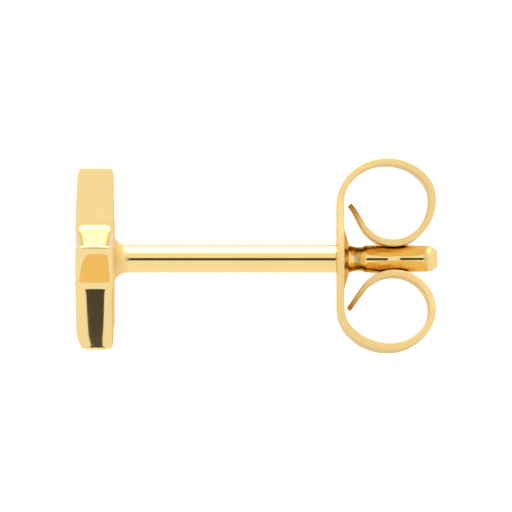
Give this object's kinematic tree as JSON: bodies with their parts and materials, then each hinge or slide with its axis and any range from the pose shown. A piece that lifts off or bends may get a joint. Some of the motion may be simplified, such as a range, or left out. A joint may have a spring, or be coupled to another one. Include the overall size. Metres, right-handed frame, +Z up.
{
  "type": "star stud earring with butterfly clutch",
  "caption": "Plain polished gold star stud earring, lying on its side, with a straight grooved post soldered to its back and a dimpled butterfly clutch that slides on the post.",
  "frame": {"origin": "under the middle of the whole, on the surface that the earring lies on", "axes": "+X along the post from the star to the clutch; +Z up, the way one point of the star looks; +Y across, towards the clutch's larger scroll"},
  "size_m": [0.0106, 0.006, 0.0051],
  "materials": {
    "polished_gold": "mirror polished yellow gold",
    "spring_gold": "polished yellow gold strip with satin stamped edges"
  },
  "bodies": {
    "stud": {"star_stud": "polished_gold"},
    "clutch": {"butterfly_clutch": "spring_gold"}
  },
  "joints": [
    {"name": "clutch_slide", "type": "slide", "parent": "stud", "child": "clutch", "axis": [1, 0, 0], "range_m": [-0.006, 0.008]}
  ]
}
